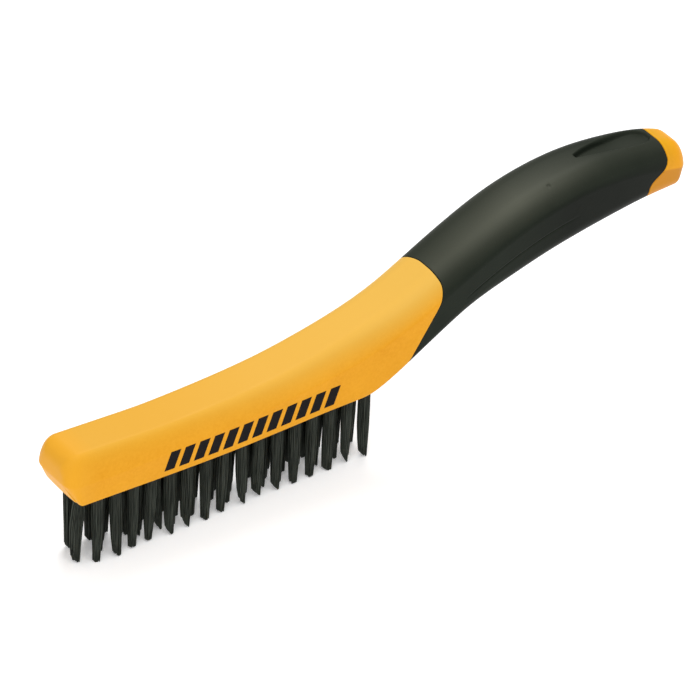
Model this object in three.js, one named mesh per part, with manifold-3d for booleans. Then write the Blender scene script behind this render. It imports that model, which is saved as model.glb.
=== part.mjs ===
// Shoe-handle wire brush, in millimetres, +Z up, standing on its bristle tips.
// +X runs from the nose of the brush block to the tail of the handle, and the brush is the
// same on both sides of the XZ plane, but for the stagger of its bristles. Stations along the
// brush are counted from the nose.
//
// Pieces: one hard plastic core (block, neck, tang and tail cap), one soft rubber grip moulded
// over its tang, and 64 bundles of steel wire in four rows, each folded over a flat staple in
// its own hole. Neighbouring bundles of two rows make one mesh, joined by their staple.
import * as THREE from 'three';
import { ParametricGeometry } from 'three/addons/geometries/ParametricGeometry.js';
import { mergeVertices } from 'three/addons/utils/BufferGeometryUtils.js';
import Module from 'manifold-3d';

const wasm = await Module();
wasm.setup();

// Driving dimensions
const overallLength = 255;
const trimLength = 28.6;
const clearance = 0.3;

// Bristle field: every second row is half a pitch nearer the nose
const tuftsPerRow = 16;
const tuftPitch = 7.27;
const firstTuft = 12.9;
const rowSpacing = 3.8;
const pairStep = { x: -tuftPitch / 2, y: rowSpacing };
const holeRadius = 2;
const holeDepth = 11.4;
const tuftRadius = holeRadius - clearance;
const tuftTipRadius = 1.45;
const tuftFold = { radius: 0.94, height: 1 };
const staple = { length: 3.5, thickness: 0.5, height: 2.2, below: 1.2 };

// Side view of the handle, as [station, height] pairs
const topLine = [
  [0, 49.2], [20, 48.1], [43, 47.1], [82, 48.8], [108, 53.4], [133, 61.1], [159, 73.8],
  [184, 83.8], [210, 88], [234, 87.2], [247, 83.6], [255, 78.5],
];
const creaseLine = [
  [0, 38.4], [34, 37.9], [71, 39.8], [107, 43.6], [128, 49], [145, 56.6],
  [169, 69], [184, 75], [200, 79], [211, 80.2], [229, 79], [244, 75.6], [255, 72.5],
];
const bottomLine = [
  [0, trimLength], [60, trimLength], [112, trimLength], [119, trimLength], [123, 30], [129, 33],
  [137, 36.7], [149, 42.9], [161, 49], [172, 53.4], [185, 57.2], [198, 60.2], [212, 62.8],
  [226, 64.2], [244, 64.6], [255, 65.2],
];

// Sections across the handle
const halfWidthLine = [
  [0, 11], [104, 11], [129, 11.6], [149, 12.3], [174, 12.6], [204, 12.2], [229, 11], [244, 9.8],
  [255, 8.6],
];
const shoulderLine = [[0, 5], [95, 5.2], [129, 7], [154, 8.5], [204, 8.5], [234, 7.5], [255, 6]];
const footRadiusLine = [[0, 0.8], [116, 0.8], [141, 4], [159, 6], [234, 6], [255, 4]];
const sideDraft = 0.35;

// Rounding of the nose and of the tail
const nose = { overhang: 3.4, rimBow: 1.6, cornerRadius: 2.8, topRadius: 6.2, footRadius: 0.8 };
const tail = { overhang: 0.8, rimBow: 1.5, cornerRadius: 5, topRadius: 8, footRadius: 2.5 };

// Soft grip, with its two edges in side view; the points either side of a bend's middle end it
const gripThickness = 2.8;
const tangEnds = [123, 249];
const seamTrim = 0.2;
const gripFrontEdge = [[130.4, 28], [146.6, 55.4], [148.6, 58.8], [147.9, 62], [145.4, 74]];
const gripRearEdge = [
  [247, 95], [245.4, 79], [245, 75.8], [241, 74], [237.2, 72.2], [237.2, 69.4], [237.2, 55],
];
const thumbRecess = { station: 227, length: 34, width: 9, depth: 1.5, radius: 16, tilt: 6 };

// Fineness of the surfaces
const endTurns = [0, 30, 60, 90];
const blockStations = { from: 20, to: 112, step: 15 };
const handleStations = { from: 118, to: 244, step: 5 };
const tangSteps = 22;
const crownSteps = 6;
const footSteps = 3;
const bendSteps = 5;
const holeSides = 12;
const tuftSides = 8;

// Points and lengths that only have to lie outside the brush
const aboveGrip = [200, 100];
const belowGrip = [181, 20];
const pastSides = 20;
const pastUnderside = 6;

const yellowPlastic = new THREE.MeshStandardMaterial({ color: '#f2ad2b', roughness: 0.45, metalness: 0 });
const blackRubber = new THREE.MeshStandardMaterial({ color: '#2b2d27', roughness: 0.7, metalness: 0 });
const steelWire = new THREE.MeshStandardMaterial({ color: '#2a2c2a', roughness: 0.45, metalness: 0.8 });

// A smooth height or width along the brush through a few chosen points
function lineThrough(points) {
  const stations = points.map((point) => point[0]);
  const values = points.map((point) => point[1]);
  const spline = new THREE.CubicInterpolant(stations, values, 1);
  return (station) => spline.evaluate(station)[0];
}

const topAt = lineThrough(topLine);
const creaseAt = lineThrough(creaseLine);
const bottomAt = lineThrough(bottomLine);
const halfWidthAt = lineThrough(halfWidthLine);
const shoulderAt = lineThrough(shoulderLine);
const footRadiusAt = lineThrough(footRadiusLine);

// Half of a section, from the crown's middle down one side to the underside's middle
function halfSection(station, inset) {
  const top = topAt(station) - inset;
  const crease = creaseAt(station);
  const bottom = bottomAt(station) + inset;
  const halfWidth = halfWidthAt(station) - inset;
  const shoulder = Math.min(shoulderAt(station), halfWidth - 1);
  const foot = Math.max(footRadiusAt(station) - inset, 0.5);
  const footWidth = halfWidth - sideDraft;
  const half = [{ y: 0, z: top }];
  for (let step = 0; step <= crownSteps; step += 1) {
    const angle = (1 - step / crownSteps) * (Math.PI / 2);
    const y = halfWidth - shoulder + shoulder * Math.cos(angle);
    half.push({ y, z: crease + (top - crease) * Math.sin(angle) });
  }
  for (let step = 0; step <= footSteps; step += 1) {
    const angle = (step / footSteps) * (Math.PI / 2);
    const y = footWidth - foot + foot * Math.cos(angle);
    half.push({ y, z: bottom + foot - foot * Math.sin(angle) });
  }
  half.push({ y: 0, z: bottom });
  return half;
}

// The whole section as a ring that starts and ends at the crown's middle
function sectionRing(station, inset) {
  const half = halfSection(station, inset);
  const other = half.slice(1, -1).reverse().map((point) => ({ y: -point.y, z: point.z }));
  return [...half, ...other, half[0]];
}

// One ring of a rounded end. turn is 0 on the end face and a quarter turn where the side begins.
function endRing(station, direction, end, turn) {
  const base = direction > 0 ? station + end.topRadius : station - end.topRadius;
  const top = topAt(base);
  const crease = creaseAt(base);
  const bottom = bottomAt(base);
  const halfWidth = halfWidthAt(base);
  const tuck = 1 - Math.sin(turn);
  const reach = 1 - Math.cos(turn);
  return sectionRing(base, 0).map((point) => {
    const above = Math.max((point.z - crease) / (top - crease), 0);
    const below = Math.max((crease - point.z) / (crease - bottom), 0);
    const y = point.y * (1 - (end.cornerRadius * tuck) / halfWidth);
    const z = point.z - end.topRadius * tuck * above + end.footRadius * tuck * below;
    const sideways = Math.abs(point.y) / halfWidth;
    const sideRadius = THREE.MathUtils.lerp(end.cornerRadius, end.topRadius, above);
    const radius = THREE.MathUtils.lerp(sideRadius, end.footRadius, below * (1 - sideways));
    const setBack = end.overhang * below + end.rimBow * (y / halfWidth) ** 2 * below;
    return { x: station + direction * (setBack + radius * reach), y, z };
  });
}

function middleOf(ring) {
  const zs = ring.map((point) => point.z);
  const x = ring.reduce((sum, point) => sum + point.x, 0) / ring.length;
  return ring.map(() => ({ x, y: 0, z: (Math.max(...zs) + Math.min(...zs)) / 2 }));
}

// A closed skin through rings of points; the first and last rings shrink to one point each
function loft(rings) {
  const all = [middleOf(rings[0]), ...rings, middleOf(rings[rings.length - 1])];
  const around = rings[0].length - 1;
  const along = all.length - 1;
  const pointAt = (a, b, target) => {
    const point = all[Math.round(b * along)][Math.round((1 - a) * around)];
    target.set(point.x - overallLength / 2, point.y, point.z);
  };
  const safe = (a, b, target) => {
    pointAt(THREE.MathUtils.clamp(a, 0, 1), THREE.MathUtils.clamp(b, 0, 1), target);
  };
  return new ParametricGeometry(safe, around, along);
}

// three.js geometry to a manifold solid and back
function toSolid(geometry) {
  const bare = geometry.clone();
  bare.deleteAttribute('normal');
  bare.deleteAttribute('uv');
  const merged = mergeVertices(bare, 1e-4);
  const index = merged.index.array;
  const triangles = [];
  for (let i = 0; i < index.length; i += 3) {
    const [a, b, c] = [index[i], index[i + 1], index[i + 2]];
    if (a !== b && b !== c && c !== a) triangles.push(a, b, c);
  }
  const vertProperties = new Float32Array(merged.attributes.position.array);
  const triVerts = new Uint32Array(triangles);
  return new wasm.Manifold(new wasm.Mesh({ numProp: 3, vertProperties, triVerts }));
}

function toGeometry(solid) {
  const mesh = solid.getMesh();
  const geometry = new THREE.BufferGeometry();
  geometry.setAttribute('position', new THREE.BufferAttribute(mesh.vertProperties, 3));
  geometry.setIndex(new THREE.BufferAttribute(mesh.triVerts, 1));
  geometry.computeVertexNormals();
  return geometry;
}

// The outer shape of the whole handle
function outerSkin() {
  const turns = endTurns.map((degrees) => THREE.MathUtils.degToRad(degrees));
  const stations = [];
  [blockStations, handleStations].forEach(({ from, to, step }) => {
    for (let station = from; station < to; station += step) stations.push(station);
  });
  const rings = [
    ...turns.map((turn) => endRing(0, 1, nose, turn)),
    ...stations.map((x) => sectionRing(x, 0).map((point) => ({ x, ...point }))),
    ...turns.reverse().map((turn) => endRing(overallLength, -1, tail, turn)),
  ];
  return toSolid(loft(rings));
}

// The same shape drawn in by an inset, between the two ends of the tang
function innerSkin(inset) {
  const [from, to] = tangEnds;
  const rings = [];
  for (let step = 0; step <= tangSteps; step += 1) {
    const x = THREE.MathUtils.lerp(from, to, step / tangSteps);
    rings.push(sectionRing(x, inset).map((point) => ({ x, ...point })));
  }
  return toSolid(loft(rings));
}

// Everything between the two edges of the grip, as a side view outline pushed through the brush.
// The front edge leans forward down each side; the rear edge has an S shape low on each side.
function gripZone(trim) {
  const front = gripFrontEdge.map(([station, height]) => [station + trim, height]);
  const rear = gripRearEdge.map(([station, height]) => [station - trim, height]);
  const outline = new THREE.Shape();
  outline.moveTo(...front[0]);
  outline.lineTo(...front[1]);
  outline.quadraticCurveTo(...front[2], ...front[3]);
  outline.lineTo(...front[4]);
  outline.lineTo(...aboveGrip);
  outline.lineTo(...rear[0]);
  outline.lineTo(...rear[1]);
  outline.quadraticCurveTo(...rear[2], ...rear[3]);
  outline.quadraticCurveTo(...rear[4], ...rear[5]);
  outline.lineTo(...rear[6]);
  outline.lineTo(...belowGrip);
  const options = { depth: 2 * pastSides, bevelEnabled: false, curveSegments: bendSteps };
  const geometry = new THREE.ExtrudeGeometry(outline, options);
  geometry.rotateX(Math.PI / 2);
  geometry.translate(-overallLength / 2, pastSides, 0);
  return toSolid(geometry);
}

// A shallow oval hollow for the thumb on the crown near the tail
function thumbHollow() {
  const sphere = new THREE.SphereGeometry(1, 20, 12);
  const rise = thumbRecess.radius;
  const cut = Math.sqrt(1 - ((rise - thumbRecess.depth) / rise) ** 2);
  sphere.scale(thumbRecess.length / 2 / cut, thumbRecess.width / 2 / cut, rise);
  sphere.rotateY(THREE.MathUtils.degToRad(thumbRecess.tilt));
  const top = topAt(thumbRecess.station);
  sphere.translate(thumbRecess.station - overallLength / 2, 0, top + rise - thumbRecess.depth);
  return toSolid(sphere);
}

// Where each pair of bundles stands: its first bundle is in row 1 or 3, its second in row 2 or 4
function pairPlaces() {
  const places = [];
  [['near', -1.5 * rowSpacing], ['far', 0.5 * rowSpacing]].forEach(([side, y]) => {
    for (let i = 0; i < tuftsPerRow; i += 1) {
      const x = firstTuft + i * tuftPitch - overallLength / 2;
      places.push({ x, y, name: `tufts_${side}_${String(i + 1).padStart(2, '0')}` });
    }
  });
  return places;
}

// A flat bar on edge that runs through both bundles of a pair and past their middles
function pairBar({ past, thickness, bottom, top }) {
  const bar = new THREE.BoxGeometry(
    Math.hypot(pairStep.x, pairStep.y) + 2 * past, thickness, top - bottom,
  );
  bar.rotateZ(Math.atan2(pairStep.y, pairStep.x));
  bar.translate(pairStep.x / 2, pairStep.y / 2, (top + bottom) / 2);
  return toSolid(bar);
}

const foldHeight = trimLength + holeDepth - clearance;
const stapleBar = {
  past: staple.length / 2,
  thickness: staple.thickness,
  bottom: foldHeight - staple.below - staple.height,
  top: foldHeight - staple.below,
};

// Two blind holes, each with a point outside the block so that it opens cleanly on the underside,
// and the slot that the staple lies in between them
function pairHoles(place) {
  const length = holeDepth + pastUnderside;
  const hole = new THREE.CylinderGeometry(holeRadius, holeRadius, length, holeSides);
  hole.rotateX(Math.PI / 2);
  hole.translate(0, 0, trimLength + (holeDepth - pastUnderside) / 2);
  const first = toSolid(hole);
  const slot = pairBar({
    past: 0,
    thickness: stapleBar.thickness + 2 * clearance,
    bottom: stapleBar.bottom - clearance,
    top: stapleBar.top + clearance,
  });
  const both = first.add(first.translate([pairStep.x, pairStep.y, 0])).add(slot);
  return both.translate([place.x, place.y, 0]);
}

// Two bundles of wire folded over one staple, each drawn as a bar that narrows to its cut tips
function pairGeometry() {
  const profile = [
    new THREE.Vector2(0, 0),
    new THREE.Vector2(tuftTipRadius, 0),
    new THREE.Vector2(tuftRadius, trimLength),
    new THREE.Vector2(tuftRadius, foldHeight - tuftFold.height),
    new THREE.Vector2(tuftFold.radius, foldHeight),
    new THREE.Vector2(0, foldHeight),
  ];
  const bundle = new THREE.LatheGeometry(profile, tuftSides);
  bundle.rotateX(Math.PI / 2);
  const first = toSolid(bundle);
  const second = first.translate([pairStep.x, pairStep.y, 0]);
  return toGeometry(first.add(second).add(pairBar(stapleBar)));
}

function coreGeometry() {
  let core = outerSkin().subtract(gripZone(-seamTrim)).add(innerSkin(gripThickness));
  pairPlaces().forEach((place) => {
    core = core.subtract(pairHoles(place));
  });
  return toGeometry(core);
}

function gripGeometry() {
  const outer = outerSkin().intersect(gripZone(seamTrim));
  const sleeve = outer.subtract(innerSkin(gripThickness - clearance));
  return toGeometry(sleeve.subtract(thumbHollow()));
}

const brush = new THREE.Group();

const core = new THREE.Mesh(coreGeometry(), yellowPlastic);
core.name = 'handle_core';
brush.add(core);

const grip = new THREE.Mesh(gripGeometry(), blackRubber);
grip.name = 'rubber_grip';
brush.add(grip);

const bristles = new THREE.Group();
const pair = pairGeometry();
pairPlaces().forEach((place) => {
  const tufts = new THREE.Mesh(pair, steelWire);
  tufts.name = place.name;
  tufts.position.set(place.x, place.y, 0);
  bristles.add(tufts);
});
brush.add(bristles);

export default brush;
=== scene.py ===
import math

import bmesh
import bpy
import numpy as np
from mathutils import Matrix, Vector


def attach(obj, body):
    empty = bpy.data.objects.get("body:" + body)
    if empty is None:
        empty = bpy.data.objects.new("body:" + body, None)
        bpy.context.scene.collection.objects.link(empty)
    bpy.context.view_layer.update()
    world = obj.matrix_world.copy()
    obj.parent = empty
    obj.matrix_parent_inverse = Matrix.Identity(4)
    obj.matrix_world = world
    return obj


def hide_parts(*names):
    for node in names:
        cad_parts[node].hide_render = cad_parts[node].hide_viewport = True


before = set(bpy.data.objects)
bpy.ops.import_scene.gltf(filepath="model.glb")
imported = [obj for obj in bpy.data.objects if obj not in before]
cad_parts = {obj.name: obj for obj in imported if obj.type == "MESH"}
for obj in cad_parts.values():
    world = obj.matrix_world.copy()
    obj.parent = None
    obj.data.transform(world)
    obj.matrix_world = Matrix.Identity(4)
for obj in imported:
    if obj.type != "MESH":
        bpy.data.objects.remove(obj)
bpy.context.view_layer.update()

# A wire brush with its nose towards -X, its tail towards +X and its printed side towards -Y.
# Lengths are in mm and stations are counted from the nose, until to_row turns points into metres
# in the frame of the CAD model. The near side is the printed one.
MM = 0.001
LENGTH = 255.0  # nose to tail

# ---------------------------------------------------------------- camera
VIEW_TURN = math.radians(37.0)  # round from the near side towards the nose
VIEW_RISE = math.radians(36.1)  # how steeply it looks down
VIEW_ROLL = math.radians(2.65)
VIEW_CENTRE = Vector((1.5, 0, 40))
VIEW_SHIFT = {"right": -7.80, "up": -1.81}  # from the centre to the point aimed at
VIEW_DISTANCE = 2200
VIEW_LENS = 333.7


def make_camera():
    camera = bpy.data.objects.new("camera", bpy.data.cameras.new("camera"))
    bpy.context.scene.collection.objects.link(camera)
    across, along = math.sin(VIEW_TURN), math.cos(VIEW_TURN)
    right = Vector((along, -across, 0))
    up = Vector((across * math.sin(VIEW_RISE), along * math.sin(VIEW_RISE), math.cos(VIEW_RISE)))
    back = right.cross(up)
    aim = VIEW_CENTRE + VIEW_SHIFT["right"] * right + VIEW_SHIFT["up"] * up
    c, s = math.cos(VIEW_ROLL), math.sin(VIEW_ROLL)
    axes = (c * right + s * up, c * up - s * right, back)
    camera.matrix_world = (
        Matrix.Translation((aim + VIEW_DISTANCE * back) * MM)
        @ Matrix(axes).transposed().to_4x4()
    )
    camera.data.lens = VIEW_LENS
    camera.data.sensor_width = 36
    camera.data.clip_end = 20
    bpy.context.scene.camera = camera


make_camera()


# ---------------------------------------------------------------- lines of the handle
def blurred(values, step, spread, reach, **padding):
    """Values on an even grid, each averaged with its neighbours by a bell curve."""
    offsets = np.arange(-reach, reach + step / 2, step)
    kernel = np.exp(-0.5 * (offsets / spread) ** 2)
    margin = len(kernel) // 2
    wide = np.pad(values, margin, **padding)
    return np.convolve(wide, kernel / kernel.sum(), "same")[margin:-margin]


def bend_through(points, blur):
    """A smooth value along the brush through (station, value) points, its corners eased over blur mm."""
    stations, values = np.array(points, float).T
    ends = {"mode": "reflect", "reflect_type": "odd"}
    wide_stations, wide_values = np.pad(stations, 1, **ends), np.pad(values, 1, **ends)
    slopes = (wide_values[2:] - wide_values[:-2]) / (wide_stations[2:] - wide_stations[:-2])
    step, margin = 0.25, 40
    grid = np.arange(-margin, LENGTH + margin, step)
    k = np.clip(np.searchsorted(stations, grid, side="right") - 1, 0, len(stations) - 2)
    width = stations[k + 1] - stations[k]
    p = np.clip((grid - stations[k]) / width, 0, 1)
    line = (
        (2 * p**3 - 3 * p**2 + 1) * values[k]
        + (p**3 - 2 * p**2 + p) * slopes[k] * width
        + (3 * p**2 - 2 * p**3) * values[k + 1]
        + (p**3 - p**2) * slopes[k + 1] * width
    )
    line += slopes[0] * np.minimum(grid - stations[0], 0)
    line += slopes[-1] * np.maximum(grid - stations[-1], 0)
    line = blurred(line, step, blur, 4 * blur, **ends)
    return lambda s: np.interp(s, grid, line)


top_at = bend_through([
    (0, 49.2), (20, 48.1), (43, 47.1), (82, 48.8), (108, 53.4), (133, 60.7), (159, 73.6),
    (184, 83.8), (210, 88), (234, 86.8), (247, 84.1), (255, 80.6)], 4)
crease_at = bend_through([
    (0, 38.4), (34, 37.9), (71, 39.8), (107, 43.6), (128, 49), (145, 56.6), (169, 69),
    (184, 75), (200, 79), (211, 80.2), (229, 79), (244, 75.6), (255, 72.5)], 4)
bottom_at = bend_through([
    (0, 29.8), (60, 28), (105, 28.8), (118, 29), (122, 29.6), (130, 33), (160, 48.6),
    (175, 54), (200, 60.4), (230, 64.3), (255, 65)], 1.5)
half_width_at = bend_through([
    (0, 11), (104, 11), (129, 11.6), (149, 12.3), (174, 12.6), (204, 12.2), (229, 11),
    (244, 9.8), (255, 8.6)], 5)
shoulder_at = bend_through([
    (0, 5), (95, 5.2), (129, 7), (154, 8.5), (204, 8.5), (234, 7.5), (255, 6)], 6)
foot_at = bend_through([
    (0, 0.8), (118, 0.8), (130, 1.6), (146, 4), (162, 5.5), (234, 5.5), (255, 4)], 2)
tilt_at = bend_through([(0, 1.1), (110, 1.1), (150, 0.8), (255, 0.8)], 5)
DRAFT = 0.35  # how far the side facet leans in from the crease down to the foot


# ---------------------------------------------------------------- sections of the handle
# A section is five stretches: the flat of the crown, its shoulder down to the crease, the side facet
# down to the foot, the foot's rounding, and the underside. These are their columns, on one side.
FLAT, CROWN, SIDE, FOOT, UNDER = 18, 36, 24, 6, 8
HALF = FLAT + CROWN + SIDE + FOOT + UNDER

PARTING_DROP = 7.8  # the grip's parting line runs this far below the crease
PARTING_COLUMN = 16  # the column of the side facet that follows it
PARTING_SHARE = (0.3, 0.88)  # it keeps between these shares of the facet's height
GROOVE = {"half": 0.32, "depth": 0.3}


def parting_at(s):
    return crease_at(s) - PARTING_DROP


def down_side(t, s, crease, lowest):
    """How far down the side facet a column runs, 0..1: one follows the parting line, two flank it."""
    k = round(t * SIDE)
    line = np.clip((crease - parting_at(s)) / (crease - lowest), *PARTING_SHARE)
    half = GROOVE["half"] / (crease - lowest)
    if k == PARTING_COLUMN:
        return line
    if k < PARTING_COLUMN:
        return (line - half) * k / (PARTING_COLUMN - 1)
    return line + half + (1 - line - half) * (k - PARTING_COLUMN - 1) / (SIDE - PARTING_COLUMN - 1)


def half_section(s, inset=0.0):
    """y and z of half a section, from the crown's middle to the underside's.

    s holds stations, as (rings, HALF + 1). y is positive: the near side is mirrored later.
    """
    top, crease, bottom = top_at(s) - inset, crease_at(s), bottom_at(s) + inset
    width = half_width_at(s) - inset
    shoulder = np.minimum(shoulder_at(s), width - 1)
    foot = np.maximum(foot_at(s) - inset, 0.5)
    foot_width = width - DRAFT
    y, z = np.empty_like(top), np.empty_like(top)
    at = 0

    def fill(count, make, last=False):
        nonlocal at
        for k in range(count + last):
            y[:, at], z[:, at] = make(k / count, at)
            at += 1

    def flat(t, c):
        return t * (width - shoulder)[:, c], top[:, c]

    def crown(t, c):
        angle = (1 - t) * math.pi / 2
        lean = tilt_at(s[:, c]) * math.sin(angle) * (1 - math.sin(angle))
        return (
            width[:, c] - shoulder[:, c] * (1 - math.cos(angle)) - lean,
            crease[:, c] + (top[:, c] - crease[:, c]) * math.sin(angle),
        )

    def side(t, c):
        lowest = bottom[:, c] + foot[:, c]
        down = down_side(t, s[:, c], crease[:, c], lowest)
        return width[:, c] - DRAFT * down, crease[:, c] + (lowest - crease[:, c]) * down

    def foot_arc(t, c):
        angle = t * math.pi / 2
        return (
            foot_width[:, c] - foot[:, c] * (1 - math.cos(angle)),
            bottom[:, c] + foot[:, c] * (1 - math.sin(angle)),
        )

    def underside(t, c):
        return (foot_width - foot)[:, c] * (1 - t), bottom[:, c]

    fill(FLAT, flat)
    fill(CROWN, crown)
    fill(SIDE, side)
    fill(FOOT, foot_arc)
    fill(UNDER, underside, last=True)
    return y, z


def rings_at(stations, inset=0.0):
    """Half rings as points, for stations of (rings, HALF + 1)."""
    y, z = half_section(stations, inset)
    return np.stack([stations, y, z], -1)


# ---------------------------------------------------------------- rounded ends
# way points into the brush. overhang is how far the face draws back from the crease to the foot, bow how
# much more it does so at the sides. corner, rim, top and foot are radii: at the sides, at the sides' lower
# rim, along the crown and along the underside.
NOSE = {
    "at": -1.4, "way": 1, "overhang": 4.2, "bow": 0.6, "corner": 4.6, "rim": 1.6, "top": 6.4, "foot": 0.8}
TAIL = {
    "at": LENGTH, "way": -1, "overhang": 0.8, "bow": 1.5, "corner": 4.4, "rim": 3.0, "top": 5, "foot": 2}
KINK = 0.04  # softness of the bend in the end face at the crease
FACE_STEPS = (0.06, 0.14, 0.24, 0.36, 0.48, 0.6, 0.71, 0.81, 0.89, 0.95)


def drawn_back(end, below, sideways):
    """How far an end face stands back, from the depth below the crease and the place sideways, both 0..1."""
    lean = (below + np.sqrt(below**2 + KINK**2)) / 2
    return (end["overhang"] + end["bow"] * sideways**2) * lean


def end_rings(end, turns):
    """Half rings of a rounded end, for turns from 0, on its end face, to a quarter turn."""
    base = np.full((1, HALF + 1), end["at"] + end["way"] * end["top"])
    y, z = half_section(base)
    crease, width = crease_at(base), half_width_at(base)
    above = np.clip((z - crease) / (top_at(base) - crease), 0, 1)
    below = (crease - z) / (crease - bottom_at(base))
    under = np.clip(below, 0, 1)
    sideways = y / width
    corner = end["corner"] + (end["rim"] - end["corner"]) * under
    radius = corner + (end["top"] - corner) * above
    radius += (end["foot"] - radius) * under * (1 - sideways)
    out = []
    for turn in turns:
        tuck, reach = 1 - math.sin(turn), 1 - math.cos(turn)
        x = end["at"] + end["way"] * (drawn_back(end, below, sideways) + radius * reach)
        y2, z2 = half_section(x)
        y2 = y2 * (1 - corner * tuck / width)
        z2 = z2 - end["top"] * tuck * above + end["foot"] * tuck * under
        out.append(np.stack([x, y2, z2], -1)[0])
    return np.array(out)


def end_face(end, rim):
    """Half rings that close an end face inside its rim, from the middle out, and the middle point."""
    base = end["at"] + end["way"] * end["top"]
    crease, bottom, width = crease_at(base), bottom_at(base), half_width_at(base)
    middle = (rim[:, 2].max() + rim[:, 2].min()) / 2

    def place(share):
        y, z = rim[:, 1] * share, middle + (rim[:, 2] - middle) * share
        back = drawn_back(end, (crease - z) / (crease - bottom), y / width)
        return np.stack([end["at"] + end["way"] * back, y, z], -1)

    return np.array([place(share) for share in FACE_STEPS]), place(0)[0]


# ---------------------------------------------------------------- edges of the grip
FAR_SKEW = 2.4  # how much nearer the nose the grip starts on the far side of the crown
SKEW_REACH = 11  # across the crown, from the middle outwards
SEAM_GAP = 0.06  # half the gap between the grip and the plastic
GRIP_WALL = 2.8
GRIP_CLEARANCE = 0.2
LIP_DEPTHS = (0.5, 1.2, 2.0)


def ease(x):
    """0 below 0 and 1 above 1, with a smooth S between."""
    x = np.clip(x, 0, 1)
    return x * x * (3 - 2 * x)


def side_curve(points, bends):
    """Station of an edge at a height, from a side view outline with its bends drawn as curves."""
    line = []
    for k, point in enumerate(points):
        if k in bends:
            a, b, c = (np.array(p, float) for p in points[k - 1:k + 2])
            line += [(1 - t) ** 2 * a + 2 * t * (1 - t) * b + t * t * c for t in np.linspace(0.1, 0.9, 9)]
        else:
            line.append(np.array(point, float))
    station, height = np.array(sorted(line, key=lambda p: p[1])).T
    step = 0.1
    grid = np.arange(20, 100, step)
    edge = blurred(np.interp(grid, height, station), step, 0.9, 3, mode="edge")
    return lambda z: np.interp(z, grid, edge)


front_edge = side_curve([
    (130.4, 28), (146.6, 55.4), (148.8, 59), (148.8, 64.5), (147.6, 67.8), (146.4, 72)], (2,))
rear_edge = side_curve([
    (237.2, 55), (237.2, 69.4), (237.2, 72.2), (241, 74), (245, 75.8), (245.4, 79), (244.6, 83.5),
    (243.4, 88)], (2, 4))


def seam(edge, start):
    """Station, per column, where the skin meets an edge of the grip, found step by step from a start."""
    s = np.full((1, HALF + 1), float(start))
    for _ in range(60):
        s = 0.5 * s + 0.5 * edge(half_section(s)[1])
    return s


def skewed(line):
    """The front seam on the far side, moved up to FAR_SKEW towards the nose, and less low on the flank."""
    y, z = half_section(line)
    crease, bottom = crease_at(line), bottom_at(line)
    return line - FAR_SKEW * ease(y / SKEW_REACH) * np.clip((z - bottom) / (crease - bottom), 0, 1)


FRONT_SEAM, REAR_SEAM = seam(front_edge, 146), seam(rear_edge, 241)
FRONT_SEAMS = (skewed(FRONT_SEAM), FRONT_SEAM)  # far side, near side


def between(a, b, count, skip=0):
    """Stations from a to b, per column, in count steps, leaving out the first skip."""
    t = np.linspace(0, 1, count + 1)[skip:, None]
    return a * (1 - t) + b * t


def lip(edge, way, radius, depth):
    """Half rings that turn inwards at a seam: round the lip, then down the wall to depth."""
    out = []
    for angle in np.linspace(0, math.pi / 2, 6)[1:]:
        s = edge - way * radius * (1 - math.sin(angle))
        out.append(rings_at(s, radius * (1 - math.cos(angle)))[0])
    for inset in (*LIP_DEPTHS, depth):
        out.append(rings_at(edge, max(inset, radius))[0])
    return np.array(out)


# ---------------------------------------------------------------- meshes
def both_sides(far, near):
    """Whole rings from the half rings of the two sides, each of (rings, HALF + 1, 3)."""
    return np.concatenate([far, near[:, -2:0:-1] * (1, -1, 1)], 1)


def to_row(points):
    """Points in mm from the nose as metres in the frame of the CAD model."""
    return (np.asarray(points, float) - (LENGTH / 2, 0, 0)) * MM


def mesh_object(name, vertices, faces, material, smooth=True):
    mesh = bpy.data.meshes.new(name)
    mesh.from_pydata([tuple(v) for v in vertices], [], faces)
    bm = bmesh.new()
    bm.from_mesh(mesh)
    bmesh.ops.recalc_face_normals(bm, faces=bm.faces)
    bm.to_mesh(mesh)
    bm.free()
    mesh.polygons.foreach_set("use_smooth", [smooth] * len(mesh.polygons))
    mesh.materials.append(material)
    mesh.update()
    obj = bpy.data.objects.new(name, mesh)
    bpy.context.scene.collection.objects.link(obj)
    return obj


def ring_faces(rings, columns, closed):
    """Quads between rings of points, and from the last ring to the first one if closed."""
    faces = []
    for i in range(rings if closed else rings - 1):
        a, b = i * columns, (i + 1) % rings * columns
        for j in range(columns):
            k = (j + 1) % columns
            faces.append((a + j, a + k, b + k, b + j))
    return faces


# ---------------------------------------------------------------- materials
def grey(x):
    return (x, x, x, 1)


def new_material(name, **sockets):
    """A material with its shader, and helpers to add nodes and link them."""
    material = bpy.data.materials.new(name)
    material.use_nodes = True
    tree = material.node_tree
    shader = tree.nodes["Principled BSDF"]
    for key, value in sockets.items():
        shader.inputs[key.replace("_", " ")].default_value = value

    def add(kind, links=None, **values):
        node = tree.nodes.new(kind)
        for key, value in values.items():
            if hasattr(node, key):
                setattr(node, key, value)
            else:
                node.inputs[key.replace("_", " ")].default_value = value
        for key, source in (links or {}).items():
            tree.links.new(source, node.inputs[key])
        return node

    return material, shader, add, tree.links.new


def stretched(add, scale):
    """Object coordinates in metres, scaled along each axis."""
    coordinates = add("ShaderNodeTexCoord").outputs["Object"]
    return add("ShaderNodeMapping", {"Vector": coordinates}, Scale=scale).outputs["Vector"]


def noise(add, where, scale, detail=2.0, rough=0.5):
    return add("ShaderNodeTexNoise", {"Vector": where}, Scale=scale, Detail=detail,
               Roughness=rough).outputs["Fac"]


def ramp(add, value, low, high, to_low, to_high):
    """value from low..high to to_low..to_high, held at the ends."""
    return add("ShaderNodeMapRange", {"Value": value}, **{
        "From_Min": low, "From_Max": high, "To_Min": to_low, "To_Max": to_high}).outputs["Result"]


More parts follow.
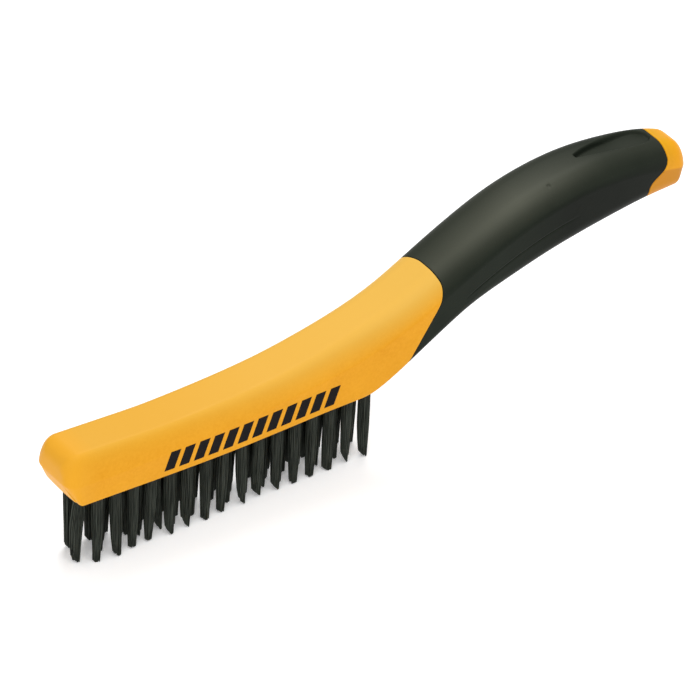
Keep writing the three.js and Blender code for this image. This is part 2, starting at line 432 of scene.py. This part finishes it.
def upwards(add):
    """How far a surface faces up: 1 for level ground, 0 for a wall."""
    normal = add("ShaderNodeNewGeometry").outputs["Normal"]
    return add("ShaderNodeSeparateXYZ", {"Vector": normal}).outputs["Z"]


def product(add, a, b):
    node = add("ShaderNodeMath", operation="MULTIPLY")
    for socket, value in zip(node.inputs, (a, b)):
        node.id_data.links.new(value, socket)
    return node.outputs[0]


def blend_colour(add, factor, a, b):
    """a where factor is 0 and b where it is 1; a and b are colours or sockets."""
    node = add("ShaderNodeMix", data_type="RGBA")
    tree = node.id_data
    for socket, value in ((node.inputs["Factor"], factor), (node.inputs[6], a), (node.inputs[7], b)):
        if isinstance(value, bpy.types.NodeSocket):
            tree.links.new(value, socket)
        else:
            socket.default_value = value
    return node.outputs[2]


def roughen(add, link, shader, height, strength, distance):
    bump = add("ShaderNodeBump", {"Height": height}, Strength=strength, Distance=distance)
    link(bump.outputs["Normal"], shader.inputs["Normal"])


# Tones of the plastic, some of them painted highlight and painted shade, and the spans along X, in metres,
# over which some of them come in or go out
PLASTIC = {
    "deep": (0.695, 0.286, 0.006, 1),
    "mid": (0.755, 0.326, 0.012, 1),
    "flow": (0.68, 0.268, 0.006, 1),
    "speckle": (0.88, 0.43, 0.030, 1),
    # painted highlight: the five tones below, paler on faces that look up, on the neck and at the two ends
    "level": (0.70, 0.362, 0.038, 1),
    "top_highlight_tail": (0.69, 0.330, 0.008, 1),
    "neck": (0.725, 0.420, 0.074, 1),
    "nose_end_highlight": (0.775, 0.362, 0.024, 1),
    "tail_end_highlight": (0.84, 0.350, 0.008, 1),
    "scuff": (0.90, 0.46, 0.05, 1),
    # painted shade, darker on the tail below its crease
    "tail_shade": (0.52, 0.20, 0.008, 1),
}
TOP_HIGHLIGHT_TAIL_IN = (0.09, 0.105)
NECK_HIGHLIGHT_IN, NECK_HIGHLIGHT_OUT = (-0.085, 0.012), (0.05, 0.09)
NOSE_HIGHLIGHT_IN, TAIL_HIGHLIGHT_IN = (-0.116, -0.1262), (0.1195, 0.124)
TAIL_SHADE_IN = (0.105, 0.108)
TAIL_FALL = 0.28  # how far the tail's crease drops for each mm towards the tail
TAIL_CREASE = (75.6 + TAIL_FALL * (244 - LENGTH / 2)) * MM  # its height, brought back to x = 0
UNDER_CREASE = (TAIL_CREASE - 0.0006, TAIL_CREASE + 0.0003)  # a span of height, with painted shade on the tail below it


def plastic_material():
    material, shader, add, link = new_material(
        "yellow_plastic", Roughness=0.42, IOR=1.5, Specular_IOR_Level=0.13,
        Specular_Tint=(1.0, 0.84, 0.48, 1))
    where = stretched(add, (1, 1, 1))
    place = add("ShaderNodeSeparateXYZ", {"Vector": where}).outputs

    # moulded plastic: broad clouds, flow marks along the brush and a fine speckle
    broad = noise(add, where, 55, 3)
    flow = noise(add, stretched(add, (18, 60, 60)), 1.0, 4, 0.6)
    speckle = noise(add, where, 900, 3, 0.7)
    colour = blend_colour(add, ramp(add, broad, 0.3, 0.7, 0, 1), PLASTIC["deep"], PLASTIC["mid"])
    colour = blend_colour(add, ramp(add, flow, 0.55, 0.8, 0, 0.5), colour, PLASTIC["flow"])
    colour = blend_colour(add, ramp(add, speckle, 0.35, 0.7, 0, 0.3), colour, PLASTIC["speckle"])

    # painted highlight: paler faces that look up, most of all towards the neck, and paler nose and tail ends
    level = blend_colour(
        add, ramp(add, place["X"], *TOP_HIGHLIGHT_TAIL_IN, 0, 1), PLASTIC["level"], PLASTIC["top_highlight_tail"])
    colour = blend_colour(add, ramp(add, upwards(add), 0.1, 0.85, 0, 1), colour, level)
    neck = product(add, ramp(add, place["X"], *NECK_HIGHLIGHT_IN, 0, 1), ramp(add, place["X"], *NECK_HIGHLIGHT_OUT, 1, 0))
    neck = product(add, neck, ramp(add, upwards(add), 0.1, 0.65, 0, 1))
    colour = blend_colour(add, neck, colour, PLASTIC["neck"])
    colour = blend_colour(add, ramp(add, place["X"], *NOSE_HIGHLIGHT_IN, 0, 0.8), colour, PLASTIC["nose_end_highlight"])
    colour = blend_colour(add, ramp(add, place["X"], *TAIL_HIGHLIGHT_IN, 0, 0.7), colour, PLASTIC["tail_end_highlight"])

    # small scuffs, and painted shade on the tail below its crease
    scuffs = noise(add, stretched(add, (900, 4500, 4500)), 1.0, 1)
    colour = blend_colour(add, ramp(add, scuffs, 0.74, 0.84, 0, 0.3), colour, PLASTIC["scuff"])
    drop = add("ShaderNodeMath", operation="MULTIPLY_ADD")
    link(place["X"], drop.inputs[0])
    drop.inputs[1].default_value = TAIL_FALL
    link(place["Z"], drop.inputs[2])
    low = ramp(add, drop.outputs[0], *UNDER_CREASE, 1, 0)
    tail = ramp(add, place["X"], *TAIL_SHADE_IN, 0, 0.85)
    colour = blend_colour(add, product(add, low, tail), colour, PLASTIC["tail_shade"])

    link(colour, shader.inputs["Base Color"])
    link(ramp(add, broad, 0.3, 0.7, 0.40, 0.47), shader.inputs["Roughness"])
    roughen(add, link, shader, noise(add, where, 2600, 2), 0.35, 0.00005)
    return material


# Tones of the rubber, and the spans, in metres, of the painted shade on its flank and of the painted sheen
# on its crown
RUBBER_TONES = {
    "deep": (0.0084, 0.0118, 0.0080, 1),
    "mid": (0.0130, 0.0172, 0.0118, 1),
    "dust": (0.040, 0.039, 0.029, 1),
    # painted shade on the flank
    "flank": (0.0040, 0.0056, 0.0038, 1),
    # painted sheen, pale on the crown's near shoulder
    "painted_sheen": (0.074, 0.077, 0.059, 1),
}
FLANK_SHADE_IN = (0.045, 0.075)
SHEEN_IN, SHEEN_OUT = (0.026, 0.050), (0.056, 0.092)  # along X
SHEEN_FAR, SHEEN_NEAR = (0.0045, -0.0055), (-0.0065, -0.0105)  # across, along Y


def rubber_material():
    material, shader, add, link = new_material(
        "black_rubber", Roughness=0.45, IOR=1.5, Specular_IOR_Level=0.07,
        Specular_Tint=(0.96, 1.0, 0.84, 1))
    where = stretched(add, (1, 1, 1))
    place = add("ShaderNodeSeparateXYZ", {"Vector": where}).outputs

    broad = noise(add, where, 40, 4, 0.6)
    dust = noise(add, where, 1400, 3, 0.7)
    colour = blend_colour(add, ramp(add, broad, 0.3, 0.7, 0, 1), RUBBER_TONES["deep"], RUBBER_TONES["mid"])
    colour = blend_colour(add, ramp(add, dust, 0.6, 0.8, 0, 0.35), colour, RUBBER_TONES["dust"])

    # painted shade on the flank, on faces that look sideways, towards the tail
    wall = ramp(add, upwards(add), 0.0, 0.35, 1, 0)
    flank = product(add, ramp(add, place["X"], *FLANK_SHADE_IN, 0, 1), wall)
    colour = blend_colour(add, flank, colour, RUBBER_TONES["flank"])

    # painted sheen along the crown's near shoulder, on faces that look up
    along = product(
        add, ramp(add, place["X"], *SHEEN_IN, 0.74, 1), ramp(add, place["X"], *SHEEN_OUT, 1, 0.22))
    across = product(
        add, ramp(add, place["Y"], *SHEEN_FAR, 0.36, 1), ramp(add, place["Y"], *SHEEN_NEAR, 1, 0.7))
    painted_sheen = product(add, product(add, along, across), ramp(add, upwards(add), 0.2, 0.85, 0, 1))
    colour = blend_colour(add, painted_sheen, colour, RUBBER_TONES["painted_sheen"])

    link(colour, shader.inputs["Base Color"])
    link(ramp(add, broad, 0.3, 0.7, 0.42, 0.50), shader.inputs["Roughness"])
    roughen(add, link, shader, noise(add, where, 1700, 2), 0.5, 0.00008)
    return material


def wire_material():
    material, shader, add, link = new_material(
        "steel_wire", Metallic=0.6, Roughness=0.42, Specular_IOR_Level=0.25,
        Specular_Tint=(0.35, 0.35, 0.33, 1))
    streaks = noise(add, stretched(add, (2600, 2600, 90)), 1.0, 3)
    dark, pale = (0.014, 0.0165, 0.014, 1), (0.070, 0.079, 0.065, 1)
    colour = blend_colour(add, ramp(add, streaks, 0.3, 0.7, 0, 1), dark, pale)
    link(colour, shader.inputs["Base Color"])
    link(ramp(add, streaks, 0.3, 0.7, 0.34, 0.5), shader.inputs["Roughness"])
    roughen(add, link, shader, streaks, 0.25, 0.00003)
    return material


def ink_material():
    material, shader, add, link = new_material("black_ink", Roughness=0.45, Specular_IOR_Level=0.06)
    where = stretched(add, (1, 1, 1))
    patches = noise(add, where, 900, 3, 0.7)
    full, thin = (0.003, 0.0025, 0.003, 1), (0.008, 0.006, 0.007, 1)
    colour = blend_colour(add, ramp(add, patches, 0.3, 0.75, 0, 1), full, thin)
    link(colour, shader.inputs["Base Color"])
    link(ramp(add, patches, 0.3, 0.7, 0.4, 0.5), shader.inputs["Roughness"])
    roughen(add, link, shader, noise(add, where, 2600, 2), 0.35, 0.00005)
    return material


def floor_material():
    material, shader, add, link = new_material("pale_floor", Roughness=0.7)
    clouds = noise(add, stretched(add, (1, 1, 1)), 3, 2)
    link(blend_colour(add, clouds, grey(0.955), grey(0.975)), shader.inputs["Base Color"])
    shader.inputs["Emission Color"].default_value = grey(1)
    shader.inputs["Emission Strength"].default_value = 0.22
    return material


YELLOW, RUBBER, WIRE, INK = plastic_material(), rubber_material(), wire_material(), ink_material()


# ---------------------------------------------------------------- bristle field
TRIM = 28.6  # height of the block's underside above the wire tips
ROWS, PER_ROW = 4, 16
FIRST, PITCH, ROW_SPACING = 12.9, 7.27, 3.8
HOLE = {"radius": 2.2, "depth": 11.6, "cone": 0.8, "sides": 24, "cut_from": 20}


def tuft_places():
    """Row, number, station and y of each bundle; every second row is half a pitch nearer the nose."""
    for row in range(ROWS):
        for i in range(PER_ROW):
            yield row, i, FIRST + (i - 0.5 * (row % 2)) * PITCH, (row - (ROWS - 1) / 2) * ROW_SPACING


def drill(body):
    """Cuts the blind holes of the bristle field into the body, each with a conical end."""
    radius, sides, roof = HOLE["radius"], HOLE["sides"], TRIM + HOLE["depth"]
    vertices, faces = [], []
    for _, _, x, y in tuft_places():
        start = len(vertices)
        for z in (HOLE["cut_from"], roof - HOLE["cone"]):
            for k in range(sides):
                angle = 2 * math.pi * k / sides
                vertices.append((x + radius * math.cos(angle), y + radius * math.sin(angle), z))
        vertices += [(x, y, HOLE["cut_from"]), (x, y, roof)]
        for k in range(sides):
            n = (k + 1) % sides
            a, b, c, d = start + k, start + n, start + sides + n, start + sides + k
            faces += [(a, b, c, d), (start + 2 * sides, b, a), (start + 2 * sides + 1, d, c)]
    cutter = mesh_object("cutter", to_row(vertices), faces, YELLOW)
    cut = body.modifiers.new("holes", "BOOLEAN")
    cut.operation, cut.solver, cut.object = "DIFFERENCE", "EXACT", cutter
    graph = bpy.context.evaluated_depsgraph_get()
    drilled = bpy.data.meshes.new_from_object(body.evaluated_get(graph))
    body.modifiers.clear()
    body.data = drilled
    bpy.data.objects.remove(cutter)


# ---------------------------------------------------------------- body: block, neck, tang and tail
STRAIGHT_TO = 112.0  # station where the rings of the block end and those of the neck begin
END_TURNS = np.linspace(0, math.pi / 2, 12)
BLOCK_STEPS, NECK_STEPS, TANG_STEPS, TAIL_STEPS = 100, 36, 60, 8
BODY_LIP = 0.22  # radius of the plastic's edge at a seam


def body_half(front):
    """Half rings of the body, nose face to tail face, for a front seam of the grip."""
    nose, tail = end_rings(NOSE, END_TURNS), end_rings(TAIL, END_TURNS)
    straight = np.full((1, HALF + 1), STRAIGHT_TO)
    front, rear = front - SEAM_GAP, REAR_SEAM + SEAM_GAP
    return np.concatenate([
        end_face(NOSE, nose[0])[0], nose,
        rings_at(between(nose[-1][None, :, 0], straight, BLOCK_STEPS, 1)),
        rings_at(between(straight, front - BODY_LIP, NECK_STEPS, 1)),
        lip(front, 1, BODY_LIP, GRIP_WALL),
        rings_at(between(front, rear, TANG_STEPS, 1)[:-1], GRIP_WALL),
        lip(rear, -1, BODY_LIP, GRIP_WALL)[::-1],
        rings_at(between(rear + BODY_LIP, tail[-1][None, :, 0], TAIL_STEPS)[:-1]),
        tail[::-1], end_face(TAIL, tail[0])[0][::-1],
    ])


def make_body():
    points = both_sides(*(body_half(front) for front in FRONT_SEAMS))
    count, columns = points.shape[:2]
    middles = [end_face(end, end_rings(end, [0])[0])[1] for end in (NOSE, TAIL)]
    vertices = np.concatenate([points.reshape(-1, 3), middles])
    faces = ring_faces(count, columns, False)
    first, last = count * columns, (count - 1) * columns
    for j in range(columns):
        k = (j + 1) % columns
        faces += [(first, k, j), (first + 1, last + j, last + k)]
    return to_row(vertices), faces


body = mesh_object("handle_body", *make_body(), YELLOW)
drill(body)
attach(body, "root")
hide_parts("handle_core")


# ---------------------------------------------------------------- soft grip
# The thumb recess is shallower towards the tail, from the station shallow_from, over shallow_over mm
THUMB = {
    "from": 210.8, "to": 243.2, "depth": 2.2, "wall": 0.95,
    "shallow_from": 226, "shallow_over": 14, "shallow_by": 0.45}
thumb_half_width = bend_through([
    (210, 0.9), (214, 2.2), (220, 3.3), (228, 4.3), (235, 4.8), (239.5, 4.2), (242, 2.8), (243.2, 1.2)], 1.0)
PARTING_FADE = {"from": 157, "in": 7, "to": 208, "out": 12}
UNDERSIDE_MARGIN = 1.5  # the parting line only counts this far above the underside
GATE = {"station": 195, "y": -7, "radius": 0.9, "wall": 0.5, "depth": 0.42}  # mark of the moulding gate
SKIN_STEPS = 320
GRIP_LIP = 0.3  # radius of the rubber's edge at a seam


def thumb_recess(x, y):
    inside = np.minimum(thumb_half_width(x) - np.abs(y), np.minimum(x - THUMB["from"], THUMB["to"] - x))
    deep = 1 - THUMB["shallow_by"] * ease((x - THUMB["shallow_from"]) / THUMB["shallow_over"])
    return THUMB["depth"] * deep * ease(inside / THUMB["wall"])


def parting_groove(x, z):
    fade = ease((x - PARTING_FADE["from"]) / PARTING_FADE["in"])
    fade = fade * ease((PARTING_FADE["to"] - x) / PARTING_FADE["out"])
    off_line = np.abs(parting_at(x) - z)
    return GROOVE["depth"] * np.clip(1 - off_line / GROOVE["half"], 0, 1) * fade


def gate_mark(x, y):
    off_centre = np.hypot(x - GATE["station"], y - GATE["y"])
    return GATE["depth"] * ease((GATE["radius"] - off_centre) / GATE["wall"])


def grip_relief(points):
    """How far the grip's outer surface is sunk, in mm, at (rings, columns, 3) points."""
    x, y, z = points[..., 0], points[..., 1], points[..., 2]
    upper = z > crease_at(x)
    on_side = ~upper & (z > bottom_at(x) + UNDERSIDE_MARGIN)
    return thumb_recess(x, y) * upper + parting_groove(x, z) * on_side + gate_mark(x, y) * upper


def grip_half(front):
    """Half rings of the grip, out over its skin and back inside it, for a front seam."""
    front, rear = front + SEAM_GAP, REAR_SEAM - SEAM_GAP
    depth = GRIP_WALL - GRIP_CLEARANCE
    return np.concatenate([
        rings_at(between(front + GRIP_LIP, rear - GRIP_LIP, SKIN_STEPS)),
        lip(rear, 1, GRIP_LIP, depth),
        rings_at(between(rear, front, TANG_STEPS, 1)[:-1], depth),
        lip(front, -1, GRIP_LIP, depth)[::-1],
    ])


def make_grip():
    points = both_sides(*(grip_half(front) for front in FRONT_SEAMS))
    count = SKIN_STEPS + 1
    skin = points[:count]
    along = np.gradient(skin, axis=0)
    around = (np.roll(skin, -1, 1) - np.roll(skin, 1, 1)) / 2
    normal = np.cross(around, along)
    normal /= np.linalg.norm(normal, axis=-1, keepdims=True)
    outwards = skin - skin.mean(1, keepdims=True)
    normal *= np.sign((normal * outwards).sum(-1).mean())
    points[:count] -= normal * grip_relief(skin)[..., None]
    total, columns = points.shape[:2]
    return to_row(points.reshape(-1, 3)), ring_faces(total, columns, True)


grip = mesh_object("soft_grip", *make_grip(), RUBBER)
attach(grip, "root")
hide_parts("rubber_grip")


# ---------------------------------------------------------------- printed mark: plain slanted bars
# low and high are above the block's lower edge; proud and sunk are either side of the plastic
BARS = {
    "count": 12, "first": 36.5, "width": 4.0, "gap": 1.9, "low": 2.6, "high": 9.9, "slant": 2.4,
    "proud": 0.04, "sunk": 0.06}
BAR_CELLS = {"along": 3, "up": 4}


def facet_point(x, z, lift):
    """A point on the near side facet of the block, lift mm proud of it."""
    crease, foot = crease_at(x), bottom_at(x) + foot_at(x)
    y = half_width_at(x) - DRAFT * np.clip((crease - z) / (crease - foot), 0, 1)
    return (x, -(y + lift), z)


def bar_points(x):
    """The corners of one bar's cells from station x, row by row upwards, outer layer first."""
    points = []
    for lift in (BARS["proud"], -BARS["sunk"]):
        for j in range(BAR_CELLS["up"] + 1):
            for i in range(BAR_CELLS["along"] + 1):
                t = j / BAR_CELLS["up"]
                at = x + BARS["width"] * i / BAR_CELLS["along"] + BARS["slant"] * t
                height = bottom_at(at) + BARS["low"] + (BARS["high"] - BARS["low"]) * t
                points.append(facet_point(at, height, lift))
    return points


def bar_faces(start):
    """Both layers of one bar and its rim, for points that start at an index."""
    cells_x, cells_z = BAR_CELLS["along"], BAR_CELLS["up"]
    across, layer = cells_x + 1, (cells_x + 1) * (cells_z + 1)
    faces = []
    for j in range(cells_z):
        for i in range(cells_x):
            a = start + j * across + i
            faces.append((a, a + 1, a + across + 1, a + across))
            faces.append(tuple(v + layer for v in (a, a + across, a + across + 1, a + 1)))
    rim = list(range(across))
    rim += [across * (j + 1) - 1 for j in range(1, cells_z + 1)]
    rim += [cells_z * across + i for i in range(cells_x - 1, -1, -1)]
    rim += [across * j for j in range(cells_z - 1, 0, -1)]
    for a, b in zip(rim, rim[1:] + rim[:1]):
        faces.append((start + a, start + a + layer, start + b + layer, start + b))
    return faces


def make_bars():
    vertices, faces = [], []
    for k in range(BARS["count"]):
        faces += bar_faces(len(vertices))
        vertices += bar_points(BARS["first"] + k * (BARS["width"] + BARS["gap"]))
    return to_row(vertices), faces


bars = mesh_object("side_bars", *make_bars(), INK, smooth=False)
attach(bars, "root")


# ---------------------------------------------------------------- bundles of wire
WIRE_RADIUS = 0.19
WIRE_SIDES = 6
WIRE_SPACING = 0.44
BUNDLE_RADIUS = 1.94
ROW_STEP = 0.866  # distance between packed rows of wires, for a spacing of 1
STAPLE_ROOM = 0.26  # from the bundle's middle to the nearest wire's side
FOLD_HEIGHT = TRIM + HOLE["depth"] - 2.1  # where the wires start to turn over the staple
FOLD_RISE = 0.95  # height of that turn for a half width of 1
STAPLE = {"half": (1.9, 0.2, 1.05), "below": 1.1}
# heights of a wire's points and how far each is on the way from root to tip
LEG_STEPS = ((TRIM + 4, 0.0), (TRIM, 0.03), (TRIM - 7, 0.2), (TRIM - 15, 0.52), (TRIM - 22, 0.8))
HIGHEST_CUT, LOWEST_CUT = 6.5, 0.03
SPLAYED = {(1, 0): -2.3, (2, 0): -3.2, (3, 1): 1.3, (0, 0): 0.6}  # row and number: push along the brush


def tube(path, radius, sides):
    """A closed tube along a path of points, in mm."""
    path = np.array(path)
    ahead = np.gradient(path, axis=0)
    ahead /= np.linalg.norm(ahead, axis=1, keepdims=True)
    side = np.cross(ahead, (1.0, 0.0, 0.0))
    side /= np.linalg.norm(side, axis=1, keepdims=True)
    up = np.cross(side, ahead)
    angles = np.arange(sides) * 2 * math.pi / sides
    rings = (
        path[:, None]
        + radius * np.cos(angles)[None, :, None] * side[:, None]
        + radius * np.sin(angles)[None, :, None] * up[:, None]
    )
    faces = ring_faces(len(path), sides, False)
    faces += [tuple(range(sides)), tuple(reversed(range((len(path) - 1) * sides, len(path) * sides)))]
    return rings.reshape(-1, 3), faces


def wire_spots():
    """Places of the wires in half a bundle, packed as round wires pack, clear of the staple."""
    out = []
    step = WIRE_SPACING * ROW_STEP
    for j in range(int(BUNDLE_RADIUS / step) + 1):
        y = STAPLE_ROOM + WIRE_RADIUS + j * step
        for i in range(-9, 10):
            x = (i + 0.5 * (j % 2)) * WIRE_SPACING
            if math.hypot(x, y) <= BUNDLE_RADIUS:
                out.append((x, y))
    return out


def staple_mesh(x, y):
    half = STAPLE["half"]
    corners = [
        (x + i * half[0], y + j * half[1], FOLD_HEIGHT - STAPLE["below"] + k * half[2])
        for k in (-1, 1) for j in (-1, 1) for i in (-1, 1)
    ]
    return corners, [(0, 2, 3, 1), (4, 5, 7, 6), (0, 1, 5, 4), (2, 6, 7, 3), (0, 4, 6, 2), (1, 3, 7, 5)]


def make_tuft(x, y, push, rng):
    """One bundle of folded wires and its staple, with its tips pushed along the brush."""
    vertices, faces = [], []

    def put(points, more):
        start = len(vertices)
        vertices.extend(points)
        faces.extend(tuple(start + v for v in face) for face in more)

    lean = np.array([np.clip(rng.normal(0.2, 0.6), -1.6, 2.0), rng.normal(0, 0.4)])  # of all its tips
    squeeze = rng.uniform(0.57, 0.80)  # width at the tips as a share of that at the roots
    belly = rng.uniform(0.06, 0.2)  # how much the bundle swells half way down
    slope, notch = rng.uniform(0.8, 2.8), rng.uniform(-1.1, 0.7)  # the cut rises on the nose side of notch
    short = rng.uniform(0.0, 0.7)  # height of the whole cut above the floor
    across = rng.uniform(-0.4, 0.4)  # how the far half's cut rises or falls outwards

    def leg(at, side):
        """From just under the fold to the cut tip, for a wire at a place in its half disc."""
        root = np.array([at[0], side * at[1]])
        tip = root * squeeze + lean + rng.normal(0, 0.09, 2)
        cut = short + slope * max(0.0, notch - root[0] * squeeze) + across * max(0.0, side * at[1])
        cut += 0.5 * max(0.0, root[0] * squeeze - 1.1) + abs(rng.normal(0, 0.2))
        bow = rng.normal(0, 0.08, 2) + root * belly
        out = []
        for z, t in LEG_STEPS:
            place = root + (tip - root) * t + bow * math.sin(math.pi * t)
            out.append((x + place[0] + push * (1 - (1 - t) ** 3), y + place[1], z))
        out.append((x + tip[0] + push, y + tip[1], min(max(cut, LOWEST_CUT), HIGHEST_CUT)))
        return out

    for at in wire_spots():
        there, back = leg(at, 1), leg(at, -1)
        fold = [
            (x + at[0], y + at[1] * math.cos(a), FOLD_HEIGHT + at[1] * math.sin(a) * FOLD_RISE)
            for a in np.linspace(0, math.pi, 7)
        ]
        put(*tube(there[::-1] + fold + back, WIRE_RADIUS, WIRE_SIDES))
    put(*staple_mesh(x, y))
    return to_row(vertices), faces


rng = np.random.default_rng(20)
for row, i, x, y in tuft_places():
    name = f"wires_row{row + 1}_{i + 1:02d}"
    tuft = mesh_object(name, *make_tuft(x, y, SPLAYED.get((row, i), 0.0), rng), WIRE)
    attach(tuft, "root")
    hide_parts(f"tufts_{'near' if row < 2 else 'far'}_{i + 1:02d}")


# ---------------------------------------------------------------- floor and light, in metres
FLOOR_HALF = 4


def floor_corners():
    return [(i * FLOOR_HALF, j * FLOOR_HALF, 0) for i, j in ((-1, -1), (1, -1), (1, 1), (-1, 1))]


floor = mesh_object("floor", floor_corners(), [(0, 1, 2, 3)], floor_material(), smooth=False)


def area_light(name, place, size, power):
    """A square light that looks at the middle of the brush."""
    light = bpy.data.lights.new(name, "AREA")
    light.shape, light.size, light.energy = "SQUARE", size, power
    obj = bpy.data.objects.new(name, light)
    bpy.context.scene.collection.objects.link(obj)
    obj.location = place
    obj.rotation_euler = (Vector((0, 0, 0.05)) - Vector(place)).to_track_quat("-Z", "Y").to_euler()


def make_studio():
    """Plain white surroundings and an untinted view."""
    world = bpy.data.worlds.new("studio")
    bpy.context.scene.world = world
    world.use_nodes = True
    background = world.node_tree.nodes["Background"]
    background.inputs["Color"].default_value = grey(1)
    background.inputs["Strength"].default_value = 0.45
    bpy.context.scene.view_settings.view_transform = "Standard"


area_light("key", (0.44, 0.46, 1.05), 0.6, 7.0)
area_light("overhead", (-0.15, -0.42, 1.04), 0.8, 5.5)
area_light("front", (-1.3, -0.72, 0.75), 1.0, 5.5)
area_light("right", (1.2, -0.5, 0.7), 0.9, 1.5)
make_studio()
